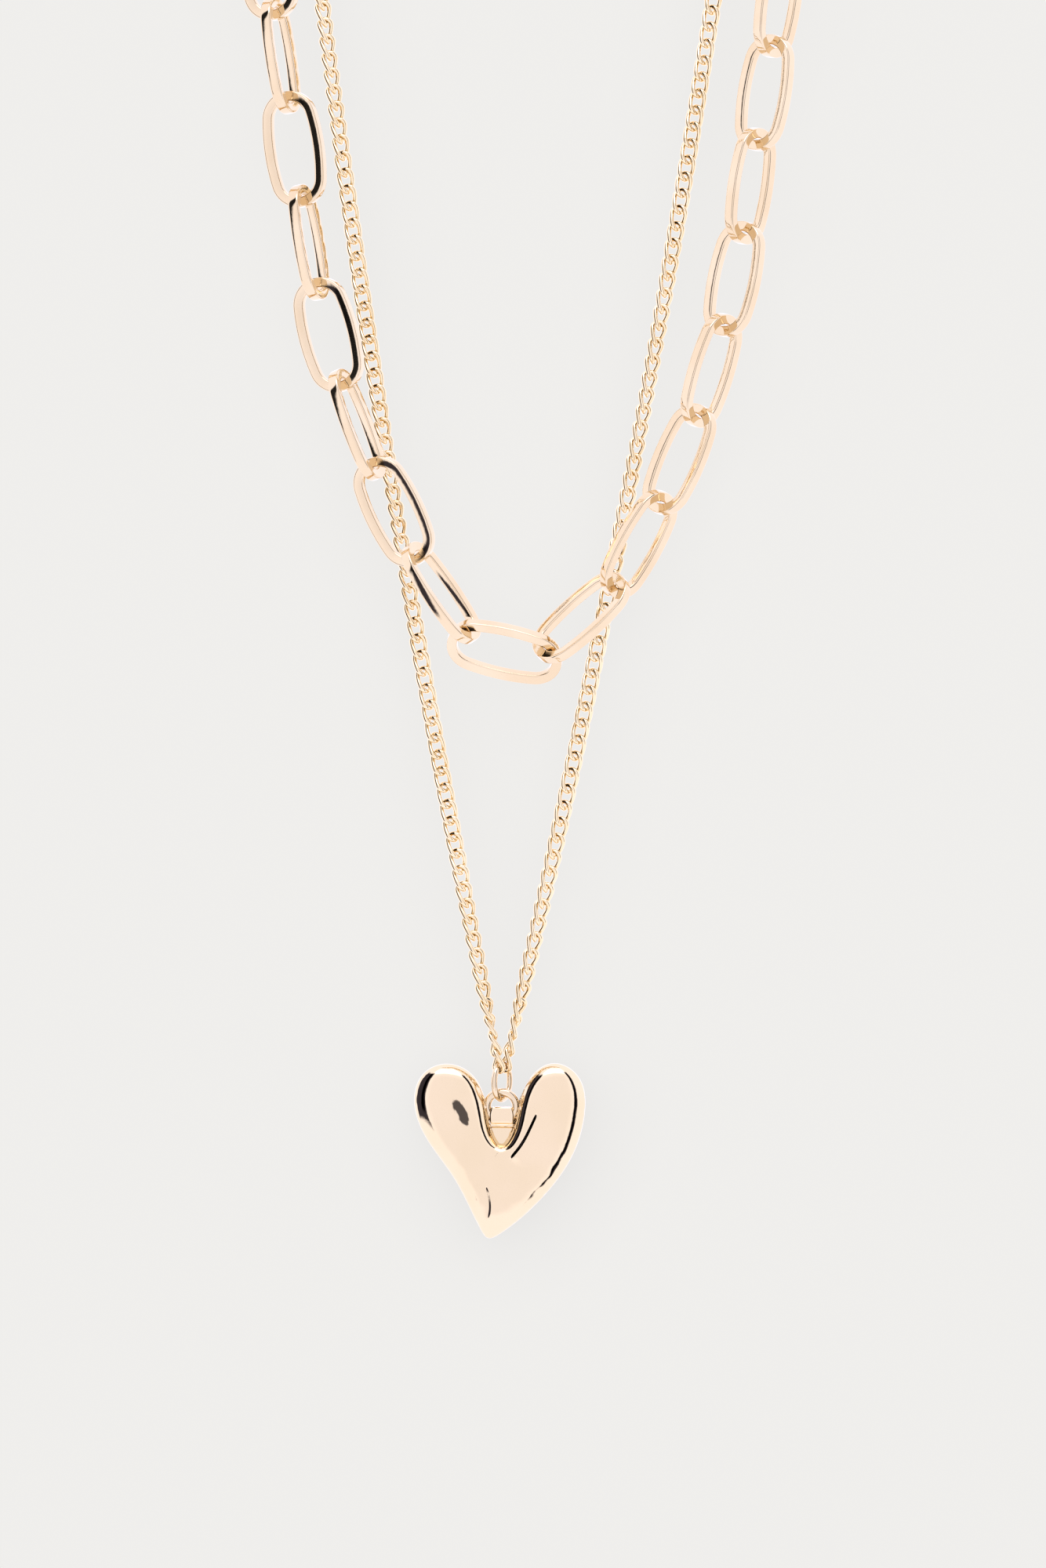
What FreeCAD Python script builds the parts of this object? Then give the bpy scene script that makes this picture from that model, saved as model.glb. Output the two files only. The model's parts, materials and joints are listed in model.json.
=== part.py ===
import FreeCAD, Part
import math
import os

Vector = FreeCAD.Vector

# A two-strand pendant necklace hanging flat in the XZ plane.  +Z is up and the front faces -Y.
# The origin is on the clasp, at the point where the necklace hangs.  All lengths are in mm.

# Paperclip strand (front strand)
PAPERCLIP_LINKS = 33
SINGLE_LINKS_PER_SIDE = 7
LINK_LENGTH = 14.6
LINK_WIDTH = 7.6
LINK_WIRE = 1.15
LINK_CORNER = 0.3
LINK_END_RADIUS = 2.9
LINK_GAP = 0.3
BOTTOM_CONTACT_TURN = 54.0
LINK_ROLL_MEAN = 35.0
LINK_ROLL_DRIFT = 15.0
LINK_ROLL_SPREAD = 2.0
FRONT_Y = -2.6
FRONT_BOTTOM_RADIUS = 11.5
FRONT_BOTTOM_TURN = 57.0
FRONT_SIDE_RADIUS = 120.0
FRONT_SIDE_TURN = 24.5
FRONT_STRAIGHT_RANGE = (40.0, 110.0)
FRONT_LEAN = 2.0

# Curb strand (back strand)
CURB_WIRE = 0.62
CURB_LENGTH = 3.6
CURB_WIDTH = 2.3
CURB_PITCH = 2.15
CURB_TWIST = -48.0
CURB_SECTIONS = 12
CURB_ROLL_START = 11.0
CURB_ROLL_MEAN = 23.0
CURB_ROLL_PERIOD_LEFT = 60.0
CURB_ROLL_PERIOD_RIGHT = 76.0
CURB_ROLL_BLEND = 12.0
CURB_SPREAD_FADE = 25.0
BACK_Y = 2.6
BACK_HEADING = 77.5
BACK_SIDE_RADIUS = 1748.0
BACK_SIDE_TURN = 4.5
BACK_STRAIGHT_RANGE = (10.0, 90.0)
PENDANT_DROP = 52.6

# Closure
ARCH_FLAT_HALF = 11.0
CLOSURE_SHIFT = 2.0
CONNECTOR_WIRE = 1.0
CONNECTOR_STRAIGHT = 6.4
CONNECTOR_RADIUS = 1.8
CLASP_REACH = 8.6
CLASP_THICKNESS = 2.0
END_RING_RADIUS = 1.5
END_RING_WIRE = 0.7

# Pendant
RING_RADIUS = 2.3
RING_WIRE = 0.65
RING_ROLL = 65.0
RING_SPREAD = 29.0
LOOP_RADIUS = 1.75
LOOP_WIRE = 0.8
HEART_FRONT = 2.7
HEART_BACK = 1.5

# Extender
EXTENDER_WIRE = 0.8
EXTENDER_LENGTH = 5.0
EXTENDER_WIDTH = 3.3
EXTENDER_SEGMENTS = 5
EXTENDER_LINKS_PER_SEGMENT = 2
TAG_RADIUS = 3.0
TAG_BORE = 1.6
TAG_THICKNESS = 0.8
TAG_EYE_OFFSET = 3.3
TAG_EYE_RADIUS = 1.4
TAG_EYE_BORE = 0.75
EXTENDER_FLAT = 0.15

CLEARANCE = 0.1
FRONT = Vector(0, -1, 0)
SOLVE_STEPS = 60


# ---------------------------------------------------------------- helpers

def turn_shape(shape, origin, x_axis, y_axis):
    """Copy of a shape with its local X and Y axes laid along two directions at a point."""
    x_axis = Vector(x_axis).normalize()
    z_axis = x_axis.cross(y_axis).normalize()
    y_axis = z_axis.cross(x_axis)
    matrix = FreeCAD.Matrix(
        x_axis.x, y_axis.x, z_axis.x, origin.x,
        x_axis.y, y_axis.y, z_axis.y, origin.y,
        x_axis.z, y_axis.z, z_axis.z, origin.z,
        0, 0, 0, 1)
    placed = shape.copy()
    placed.Placement = FreeCAD.Placement(matrix)
    return placed


def width_axis(along, roll):
    """Direction of a link's width: sideways in the necklace's plane, rolled about the chain."""
    along = Vector(along).normalize()
    across = FRONT.cross(along).normalize()
    facing = along.cross(across)
    angle = math.radians(roll)
    return across * math.cos(angle) + facing * math.sin(angle)


def lay_link(shape, centre, along, roll):
    """Lay a link along a chain: its length is along local X and its width along local Y."""
    return turn_shape(shape, centre, along, width_axis(along, roll))


def save(name, solids):
    shape = solids[0] if len(solids) == 1 else Part.makeCompound(solids)
    shape.exportStep("parts/" + name + ".step")


def solve(function, low, high):
    """Root of a rising or falling function between low and high."""
    rising = function(high) > function(low)
    for _ in range(SOLVE_STEPS):
        middle = (low + high) / 2
        if (function(middle) > 0) == rising:
            high = middle
        else:
            low = middle
    return (low + high) / 2


def cylinder_between(start, end, radius):
    return Part.makeCylinder(radius, (end - start).Length, start, end - start)


def wire_bend(wire_radius, centre, start, axis, turn):
    """Round wire bent about an axis through a centre, from a start point."""
    axis = Vector(axis).normalize()
    heading = axis.cross(start - centre)
    section = Part.Face(Part.Wire([Part.makeCircle(wire_radius, start, heading)]))
    return section.revolve(centre, axis, turn)


# ---------------------------------------------------------------- strand paths

class HalfPath:
    """Right half of a strand, from its lowest point up to the closure, as arcs and straights.
    The left half mirrors it, and a lean moves the lowest point sideways but not the closure."""

    def __init__(self, x, heading, lean=0.0):
        self.lean = lean
        self.pieces = []
        self.x = x
        self.z = 0.0
        self.heading = math.radians(heading)
        self.length = 0.0

    def arc(self, radius, turn):
        turn = math.radians(turn)
        self.pieces.append((self.length, self.x, self.z, self.heading, 1 / radius))
        self.x += radius * (math.sin(self.heading + turn) - math.sin(self.heading))
        self.z += radius * (math.cos(self.heading) - math.cos(self.heading + turn))
        self.heading += turn
        self.length += radius * turn

    def straight(self, length):
        self.pieces.append((self.length, self.x, self.z, self.heading, 0.0))
        self.x += length * math.cos(self.heading)
        self.z += length * math.sin(self.heading)
        self.length += length

    def arch(self):
        """Close the half path over the top with an arc and a flat run to the middle."""
        left_to_turn = math.pi - self.heading
        radius = (self.x - ARCH_FLAT_HALF) / math.sin(left_to_turn)
        self.arc(radius, math.degrees(left_to_turn))
        self.straight(ARCH_FLAT_HALF)

    def point(self, distance):
        """Point at a signed distance from the lowest point: positive right, negative left."""
        side = 1 if distance >= 0 else -1
        travelled = abs(distance)
        start, x, z, heading, curvature = [p for p in self.pieces if p[0] <= travelled][-1]
        run = travelled - start
        if curvature:
            end_heading = heading + run * curvature
            x += (math.sin(end_heading) - math.sin(heading)) / curvature
            z += (math.cos(heading) - math.cos(end_heading)) / curvature
        else:
            x += run * math.cos(heading)
            z += run * math.sin(heading)
        return Vector(side * x + self.lean * (1 - z / self.z), 0, z)


def front_path(straight_length):
    path = HalfPath(0.0, 0.0, FRONT_LEAN)
    path.arc(FRONT_BOTTOM_RADIUS, FRONT_BOTTOM_TURN)
    path.arc(FRONT_SIDE_RADIUS, FRONT_SIDE_TURN)
    path.straight(straight_length)
    path.arch()
    return path


def back_path(straight_length):
    ring_point_x = RING_RADIUS * math.sin(math.radians(RING_SPREAD)) * math.cos(math.radians(RING_ROLL))
    path = HalfPath(ring_point_x, BACK_HEADING)
    path.arc(BACK_SIDE_RADIUS, BACK_SIDE_TURN)
    path.straight(straight_length)
    path.arch()
    return path


def march(path, start, chords):
    """Distances along a path of points whose chords have the given lengths."""
    marks = [start]
    for pitch in chords:
        last = marks[-1]
        here = path.point(last)
        step = solve(lambda s: (path.point(last + s) - here).Length - pitch, 0.0, 1.5 * pitch)
        marks.append(last + step)
    return marks


# ---------------------------------------------------------------- derived layout

LINK_PITCH = LINK_LENGTH - 2 * LINK_WIRE - LINK_GAP
BAR_OFFSET = (LINK_WIRE + LINK_GAP) / 2
CLOSURE_HALF = CLASP_REACH / 2 + 2 * CONNECTOR_RADIUS
LEFT_BAR_X = CLOSURE_SHIFT - CLOSURE_HALF
RIGHT_BAR_X = CLOSURE_SHIFT + CLOSURE_HALF
CONTACT_INSET = CONNECTOR_WIRE / 2 + CLEARANCE - (BAR_OFFSET - LINK_WIRE / 2)
MIDDLE_LINK = PAPERCLIP_LINKS // 2
CONTACT_RADIUS = LINK_END_RADIUS - BAR_OFFSET
BOTTOM_CONTACT_X = ((LINK_LENGTH - LINK_WIRE) / 2 - LINK_END_RADIUS
                    + CONTACT_RADIUS * math.cos(math.radians(BOTTOM_CONTACT_TURN)))
BOTTOM_CONTACT_Y = CONTACT_RADIUS * math.sin(math.radians(BOTTOM_CONTACT_TURN))


def front_marks(path):
    start = -(path.length + LEFT_BAR_X + CONTACT_INSET)
    chords = [LINK_PITCH] * PAPERCLIP_LINKS
    chords[MIDDLE_LINK] = 2 * BOTTOM_CONTACT_X
    return march(path, start, chords)


def front_misfit(straight_length):
    path = front_path(straight_length)
    reach = path.length - RIGHT_BAR_X + CONTACT_INSET
    return front_marks(path)[-1] - reach


def layout_front():
    """Contact points of the paperclip strand, from the left connector to the right one."""
    straight_length = solve(front_misfit, *FRONT_STRAIGHT_RANGE)
    path = front_path(straight_length)
    drop = Vector(0, FRONT_Y, -path.z)
    return [path.point(mark) + drop for mark in front_marks(path)], path.z


FRONT_CONTACTS, FRONT_HEIGHT = layout_front()
BACK_HEIGHT = FRONT_HEIGHT + PENDANT_DROP
RING_TOP_Z = -BACK_HEIGHT


def front_roll(index):
    """Roll of a paperclip link: neighbours are a quarter turn apart, flat at both ends."""
    from_middle = index - MIDDLE_LINK
    base = LINK_ROLL_MEAN + LINK_ROLL_DRIFT * math.tanh(from_middle / LINK_ROLL_SPREAD)
    fade = min(1.0, (MIDDLE_LINK - abs(from_middle)) / SINGLE_LINKS_PER_SIDE)
    edge_on = -90 if (from_middle % 2) else 0
    return base * fade + edge_on


def front_place(index):
    """Centre, direction and roll of a paperclip link."""
    start = FRONT_CONTACTS[index]
    along = FRONT_CONTACTS[index + 1] - start
    centre = start + along / 2
    roll = front_roll(index)
    if index == MIDDLE_LINK:
        centre -= width_axis(along, roll) * BOTTOM_CONTACT_Y
    return centre, along, roll


# ---------------------------------------------------------------- paperclip link

def rounded_square(width, corner):
    """Rounded square face in the local XZ plane, centred on the origin."""
    half = width / 2
    flat = half - corner
    bow = corner * math.sqrt(0.5)
    edges = []
    for quarter in range(4):
        angle = math.radians(90 * quarter)

        def at(u, v):
            return Vector(u * math.cos(angle) - v * math.sin(angle), 0,
                          u * math.sin(angle) + v * math.cos(angle))
        edges.append(Part.LineSegment(at(half, -flat), at(half, flat)).toShape())
        corner_arc = Part.Arc(at(half, flat), at(flat + bow, flat + bow), at(flat, half))
        edges.append(corner_arc.toShape())
    return Part.Face(Part.Wire(edges))


def oval_ring(length, width, end_radius, section):
    """Closed oval wire of four arcs in the local XY plane, from a section face."""
    half_length = length / 2
    half_width = width / 2
    inset = half_length - end_radius
    side_radius = (inset ** 2 + half_width ** 2 - end_radius ** 2) / (2 * (half_width - end_radius))
    side_angle = math.degrees(math.atan2(inset, side_radius - half_width))
    end_angle = 90 - side_angle
    pieces = []
    for side in (1, -1):
        start = Vector(side * half_length, 0, 0)
        end_centre = Vector(side * inset, 0, 0)
        face = section.copy()
        face.translate(start)
        face.rotate(end_centre, Vector(0, 0, 1), -end_angle)
        pieces.append(face.revolve(end_centre, Vector(0, 0, 1), 2 * end_angle))
        side_centre = Vector(0, side * (half_width - side_radius), 0)
        face = section.copy()
        face.translate(side_centre + Vector(side_radius, 0, 0))
        face.rotate(side_centre, Vector(0, 0, 1), side * 90 - side_angle)
        pieces.append(face.revolve(side_centre, Vector(0, 0, 1), 2 * side_angle))
    ring = pieces[0].fuse(pieces[1:])
    return ring.removeSplitter().Solids[0]


def make_paperclip_link():
    section = rounded_square(LINK_WIRE, LINK_CORNER)
    return oval_ring(LINK_LENGTH - LINK_WIRE, LINK_WIDTH - LINK_WIRE, LINK_END_RADIUS, section)


def build_paperclip_strand():
    template = make_paperclip_link()
    links = [lay_link(template, *front_place(index)) for index in range(PAPERCLIP_LINKS)]
    save("paperclip_bottom_link", [links[MIDDLE_LINK]])
    for count in range(1, MIDDLE_LINK + 1):
        left = links[MIDDLE_LINK - count]
        right = links[MIDDLE_LINK + count]
        if count <= SINGLE_LINKS_PER_SIDE:
            save("paperclip_left_link_%d" % count, [left])
            save("paperclip_right_link_%d" % count, [right])
        else:
            save("paperclip_upper_pair_%02d" % count, [left, right])
    return links


# ---------------------------------------------------------------- curb strand

def make_curb_link():
    """Twisted oval link: two U bends turned opposite ways about the chain, joined by S legs.
    A negative twist makes a left-handed chain."""
    wire = CURB_WIRE / 2
    bend_radius = (CURB_WIDTH - CURB_WIRE) / 2
    bend_x = (CURB_LENGTH - CURB_WIRE) / 2 - bend_radius
    twist = math.radians(CURB_TWIST)
    leg_side = bend_radius * math.cos(twist)
    leg_rise = bend_radius * math.sin(twist)
    leg_turn = 2 * math.atan2(leg_rise, bend_x)
    leg_radius = bend_x / math.sin(leg_turn)
    pieces = []
    for end in (1, -1):
        outward = Vector(end, 0, 0)
        across = Vector(0, math.cos(twist), end * math.sin(twist))
        centre = Vector(end * bend_x, 0, 0)
        pieces.append(wire_bend(wire, centre, centre - across * bend_radius, outward.cross(across), 180))
        for side in (1, -1):
            start = Vector(end * bend_x, side * leg_side, side * end * leg_rise)
            towards = Vector(0, 0, side * end * leg_radius)
            axis = outward.cross(towards)
            pieces.append(wire_bend(wire, start - towards, start, axis, math.degrees(abs(leg_turn))))
    return pieces[0].fuse(pieces[1:]).removeSplitter().Solids[0]


def curb_path():
    def misfit(straight_length):
        return back_path(straight_length).z - BACK_HEIGHT
    return back_path(solve(misfit, *BACK_STRAIGHT_RANGE))


def ring_offset(side):
    """Where a curb end crosses the pendant ring, as a sideways shift behind or in front."""
    reach = RING_RADIUS * math.sin(math.radians(RING_SPREAD)) * math.sin(math.radians(RING_ROLL))
    return side * reach


def curb_side_layout(side):
    """Centres and directions of one side's curb links, from the pendant ring to the closure."""
    path = curb_path()
    bar_x = RIGHT_BAR_X if side > 0 else -LEFT_BAR_X
    ring_pass = END_RING_RADIUS - END_RING_WIRE / 2 - CONNECTOR_WIRE / 2 - CLEARANCE
    ring_pass += END_RING_RADIUS - END_RING_WIRE / 2 - CURB_WIRE / 2 - CLEARANCE / 2
    end = path.length - bar_x - ring_pass
    ring_fall = RING_RADIUS * (1 - math.cos(math.radians(RING_SPREAD)))
    start = -(ring_fall + RING_WIRE / 2 + CURB_WIRE / 2 + CLEARANCE)
    end_bar = (CURB_LENGTH - CURB_WIRE) / 2
    run = end - start - 2 * end_bar
    count = round(run / CURB_PITCH)
    pitch = run / count

    def spot(distance):
        point = path.point(max(distance, 0.0))
        if distance < 0:
            point += Vector(0, 0, distance)
        fade = max(0.0, 1 - max(distance, 0.0) / CURB_SPREAD_FADE) ** 2
        return Vector(side * point.x, BACK_Y + ring_offset(side) * fade, point.z - BACK_HEIGHT)

    places = []
    for index in range(count + 1):
        distance = start + end_bar + index * pitch
        along = spot(distance + pitch / 2) - spot(distance - pitch / 2)
        roll = curb_roll(distance, end - distance, side)
        places.append((spot(distance), along, roll))
    return places


def curb_roll(from_ring, from_closure, side):
    """Slow twist of the chain, with end bars turned square to the rings that they hook."""
    period = CURB_ROLL_PERIOD_RIGHT if side > 0 else CURB_ROLL_PERIOD_LEFT
    roll = CURB_ROLL_MEAN * (1 + math.cos(2 * math.pi * (from_ring - CURB_ROLL_START) / period))
    ring_end = RING_ROLL + 90 + CURB_TWIST
    closure_end = -90 - CURB_TWIST
    for target, distance in ((ring_end, from_ring), (closure_end, from_closure)):
        share = min(1.0, max(0.0, distance / CURB_ROLL_BLEND))
        share = share * share * (3 - 2 * share)
        roll = target + (roll - target) * share
    return roll


def section_breaks(count):
    """First link of every section, counted from the pendant ring."""
    return [round(count * step / CURB_SECTIONS) for step in range(CURB_SECTIONS + 1)]


def build_curb_strand():
    template = make_curb_link()
    sections = [[] for _ in range(CURB_SECTIONS)]
    for side in (-1, 1):
        places = curb_side_layout(side)
        breaks = section_breaks(len(places))
        for step in range(CURB_SECTIONS):
            for place in places[breaks[step]:breaks[step + 1]]:
                sections[step].append(lay_link(template, *place))
    for step, solids in enumerate(reversed(sections)):
        save("curb_section_%02d" % (step + 1), solids)
    return sections


# ---------------------------------------------------------------- rings and clasp

def make_connector_ring(inner_x, outer_x):
    """Oval ring in the XY plane whose two long bars run along Y."""
    wire = CONNECTOR_WIRE / 2
    centre_x = (inner_x + outer_x) / 2
    half = CONNECTOR_STRAIGHT / 2
    pieces = []
    for bar_x in (inner_x, outer_x):
        pieces.append(cylinder_between(Vector(bar_x, -half, 0), Vector(bar_x, half, 0), wire))
    for end in (1, -1):
        centre = Vector(centre_x, end * half, 0)
        start = Vector(centre_x + CONNECTOR_RADIUS, end * half, 0)
        section = Part.Face(Part.Wire([Part.makeCircle(wire, start, Vector(0, 1, 0))]))
        pieces.append(section.revolve(centre, Vector(0, 0, end), 180))
    return pieces[0].fuse(pieces[1:]).removeSplitter().Solids[0]


def make_end_ring(side):
    """Round ring that ties the curb strand's end to the connector ring's outer bar."""
    bar_x = RIGHT_BAR_X if side > 0 else LEFT_BAR_X
    reach = END_RING_RADIUS - END_RING_WIRE / 2 - CONNECTOR_WIRE / 2 - CLEARANCE
    centre = Vector(bar_x + side * reach, BACK_Y, 0)
    return Part.makeTorus(END_RING_RADIUS, END_RING_WIRE / 2, centre, Vector(0, 1, 0))


def plate(outline_face, thickness):
    """Plate with its mid plane at Y = 0 from a face drawn in the XZ plane."""
    return outline_face.extrude(Vector(0, thickness, 0)).translated(Vector(0, -thickness / 2, 0))


def disc(radius, centre_x, centre_z):
    edge = Part.makeCircle(radius, Vector(centre_x, 0, centre_z), Vector(0, 1, 0))
    return Part.Face(Part.Wire([edge]))


def ring_sector(centre_x, inner, outer, start, end):
    """Flat ring sector in the XZ plane between two angles in degrees."""
    def at(radius, degrees):
        angle = math.radians(degrees)
        return Vector(centre_x + radius * math.cos(angle), 0, radius * math.sin(angle))
    middle = (start + end) / 2
    edges = [
        Part.Arc(at(outer, start), at(outer, middle), at(outer, end)).toShape(),
        Part.LineSegment(at(outer, end), at(inner, end)).toShape(),
        Part.Arc(at(inner, end), at(inner, middle), at(inner, start)).toShape(),
        Part.LineSegment(at(inner, start), at(outer, start)).toShape(),
    ]
    return Part.Face(Part.Wire(edges))


BOW_INNER = 2.0
BOW_OUTER = 3.1
EYE_OUTER = 1.75
EYE_BORE = 0.75
EYE_THICKNESS = 1.6
NECK_HEIGHT = 2.4
NECK_BOTTOM = -1.1
NECK_OVERLAP = 0.3
BOW_OVERLAP = 0.05
GATE_SLOT = 0.9
GATE_HUB = 0.85
GATE_SIDE_GAP = 0.08
SLOT_MARGIN = 0.4
PIN_RADIUS = 0.35
PIN_PRESS_FIT = 0.01
PIN_RUNNING_FIT = 0.04
EYE_X = CLOSURE_SHIFT - CLASP_REACH / 2 + EYE_BORE - CONNECTOR_WIRE / 2 - CLEARANCE
BOW_X = CLOSURE_SHIFT + CLASP_REACH / 2 - BOW_INNER + CONNECTOR_WIRE / 2 + CLEARANCE
PIVOT_OFFSET = 2.75
PIVOT_X = BOW_X - PIVOT_OFFSET
PIVOT_Z = 0.45
HOOK_START = -168.0
HOOK_END = 95.0
GATE_TIP_ANGLE = 80.0
GATE_HALF_WIDTH = 0.3
TRIGGER_OPEN = 18.0
TAB_REACH = 2.5
TAB_ARC = (95, 125)
SPRING_LEAF = 0.14
SPRING_ARC = (190, 250)


def cross_hole(radius):
    """Cylinder through the clasp on the trigger's pivot."""
    start = Vector(PIVOT_X, -CLASP_THICKNESS, PIVOT_Z)
    return Part.makeCylinder(radius, 2 * CLASP_THICKNESS, start, Vector(0, 1, 0))


def make_clasp_body():
    """Lobster clasp body: eye, slotted neck and open hook."""
    body = plate(ring_sector(BOW_X, BOW_INNER, BOW_OUTER, HOOK_START, HOOK_END), CLASP_THICKNESS)
    neck_left = EYE_X + EYE_BORE + NECK_OVERLAP
    neck_right = BOW_X - BOW_INNER - BOW_OVERLAP
    neck = Part.makeBox(neck_right - neck_left, CLASP_THICKNESS, NECK_HEIGHT,
                        Vector(neck_left, -CLASP_THICKNESS / 2, NECK_BOTTOM))
    body = body.fuse(neck)
    body = body.fuse(plate(disc(EYE_OUTER, EYE_X, 0), EYE_THICKNESS))
    body = body.cut(plate(disc(BOW_INNER, BOW_X, 0), 2 * CLASP_THICKNESS))
    body = body.cut(plate(disc(EYE_BORE, EYE_X, 0), 2 * CLASP_THICKNESS))
    slot_left = PIVOT_X - GATE_HUB - SLOT_MARGIN
    slot_floor = PIVOT_Z - GATE_HUB - SLOT_MARGIN
    slot = Part.makeBox(BOW_X - BOW_INNER / 2 - slot_left, GATE_SLOT, BOW_OUTER,
                        Vector(slot_left, -GATE_SLOT / 2, slot_floor))
    body = body.cut(slot)
    pin_hole = cross_hole(PIN_RADIUS + PIN_PRESS_FIT)
    return body.cut(pin_hole).removeSplitter().Solids[0]


def make_clasp_gate():
    """Trigger: hub on the pin, straight gate under the hook's end, and a thumb tab outside."""
    thickness = GATE_SLOT - 2 * GATE_SIDE_GAP
    pivot = Vector(PIVOT_X, 0, PIVOT_Z)
    tip_angle = math.radians(GATE_TIP_ANGLE)
    tip_radius = BOW_INNER - GATE_HALF_WIDTH - CLEARANCE
    tip = Vector(BOW_X + tip_radius * math.cos(tip_angle), 0, tip_radius * math.sin(tip_angle))
    side = (tip - pivot).cross(FRONT).normalize() * GATE_HALF_WIDTH
    bar = Part.Face(Part.makePolygon([pivot + side, tip + side, tip - side, pivot - side, pivot + side]))
    tab = ring_sector(0, GATE_HUB / 2 + PIN_RADIUS / 2 + BOW_OVERLAP, TAB_REACH, *TAB_ARC)
    tab.translate(pivot)
    gate = plate(disc(GATE_HUB, PIVOT_X, PIVOT_Z), thickness)
    gate = gate.fuse([plate(bar, thickness), plate(tab, thickness)])
    pin_hole = cross_hole(PIN_RADIUS + PIN_RUNNING_FIT)
    return gate.cut(pin_hole).removeSplitter().Solids[0]


def make_clasp_pin():
    start = Vector(PIVOT_X, -CLASP_THICKNESS / 2, PIVOT_Z)
    return Part.makeCylinder(PIN_RADIUS, CLASP_THICKNESS, start, Vector(0, 1, 0))


def make_clasp_spring():
    """Leaf spring in the slot between the neck and the trigger's hub."""
    inner = GATE_HUB + GATE_SIDE_GAP
    leaf = ring_sector(PIVOT_X, inner, inner + SPRING_LEAF, *SPRING_ARC)
    leaf = plate(leaf, GATE_SLOT - 2 * BOW_OVERLAP - 2 * CLEARANCE)
    return leaf.translated(Vector(0, 0, PIVOT_Z))


def build_closure():
    inner_left = LEFT_BAR_X + 2 * CONNECTOR_RADIUS
    inner_right = RIGHT_BAR_X - 2 * CONNECTOR_RADIUS
    save("left_connector_ring", [make_connector_ring(inner_left, LEFT_BAR_X)])
    save("right_connector_ring", [make_connector_ring(inner_right, RIGHT_BAR_X)])
    save("left_curb_end_ring", [make_end_ring(-1)])
    save("right_curb_end_ring", [make_end_ring(1)])
    save("clasp_body", [make_clasp_body()])
    save("clasp_trigger", [make_clasp_gate()])
    save("clasp_pivot_pin", [make_clasp_pin()])
    save("clasp_spring", [make_clasp_spring()])


# ---------------------------------------------------------------- pendant

def ring_centre():
    return Vector(0, BACK_Y, RING_TOP_Z - RING_RADIUS)


def make_pendant_ring():
    angle = math.radians(RING_ROLL)
    normal = Vector(-math.sin(angle), math.cos(angle), 0)
    return Part.makeTorus(RING_RADIUS, RING_WIRE / 2, ring_centre(), normal)


def loop_centre():
    """Centre of the heart's loop: its top bar lies above the pendant ring's bottom bar."""
    gap = RING_WIRE / 2 + LOOP_WIRE / 2 + CLEARANCE
    return ring_centre() + Vector(0, 0, -RING_RADIUS + gap - LOOP_RADIUS)


TAB_WIDTH = 2.2
TAB_THICKNESS = 1.1
TAB_LENGTH = 4.4


def make_heart_loop():
    """Ring soldered to a short tab that reaches down into the notch of the heart."""
    centre = loop_centre()
    loop = Part.makeTorus(LOOP_RADIUS, LOOP_WIRE / 2, centre, Vector(0, 1, 0))
    corner = centre + Vector(-TAB_WIDTH / 2, -TAB_THICKNESS / 2, -LOOP_RADIUS - TAB_LENGTH)
    tab = Part.makeBox(TAB_WIDTH, TAB_THICKNESS, TAB_LENGTH, corner)
    return loop.fuse(tab).removeSplitter().Solids[0]


HEART_NOTCH_DROP = 5.4
HEART_MIDDLE = (-0.8, -1.0)
HEART_LEVELS = 6
HEART_TOP_SHARE = 0.96
HEART_CROWN = 2.2


def heart_outline(scale, depth):
    """Heart outline about the notch's bottom, shrunk towards the middle, at a depth along Y."""
    left_half = [(0.0, 0.0), (-1.0, 1.6), (-1.9, 5.4), (-3.9, 9.5), (-7.2, 10.7), (-10.1, 9.3),
                 (-11.1, 6.4), (-9.6, 1.4), (-6.0, -3.6), (-3.3, -8.6), (-1.6, -11.8)]
    right_half = [(-1.6, -11.8), (1.2, -9.9), (5.2, -6.2), (9.0, -0.8), (10.5, 4.6), (9.6, 9.4),
                  (6.4, 11.0), (3.4, 8.9), (2.0, 4.6), (1.2, 1.7), (0.0, 0.0)]
    middle_x, middle_z = HEART_MIDDLE
    edges = []
    for half in (left_half, right_half):
        points = [Vector(middle_x + (x - middle_x) * scale, depth, middle_z + (z - middle_z) * scale)
                  for x, z in half]
        curve = Part.BSplineCurve()
        curve.interpolate(Points=points)
        edges.append(curve.toShape())
    return Part.Wire(edges)


def make_heart():
    """Puffed heart: the outline shrinks level by level towards a crowned front and back."""
    sections = []
    for level in range(-HEART_LEVELS, HEART_LEVELS + 1):
        share = level / HEART_LEVELS * HEART_TOP_SHARE
        depth = share * (HEART_BACK if share > 0 else HEART_FRONT)
        scale = (1 - abs(share) ** HEART_CROWN) ** 0.5
        sections.append(heart_outline(scale, depth))
    body = Part.makeLoft(sections, True, True)
    body.translate(loop_centre() + Vector(0, 0, -HEART_NOTCH_DROP))
    return body


def build_pendant():
    save("pendant_ring", [make_pendant_ring()])
    loop = make_heart_loop()
    heart = make_heart().cut(loop)
    save("heart_loop", [loop])
    save("heart_pendant", [max(heart.Solids, key=lambda solid: solid.Volume)])


# ---------------------------------------------------------------- extender

def make_extender_link():
    wire = EXTENDER_WIRE / 2
    section = Part.Face(Part.Wire([Part.makeCircle(wire, Vector(0, 0, 0), Vector(0, 1, 0))]))
    return oval_ring(EXTENDER_LENGTH - EXTENDER_WIRE, EXTENDER_WIDTH - EXTENDER_WIRE,
                     (EXTENDER_WIDTH - EXTENDER_WIRE) / 2 - EXTENDER_FLAT, section)


EXTENDER_PITCH = EXTENDER_LENGTH - 2 * EXTENDER_WIRE - CLEARANCE


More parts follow.
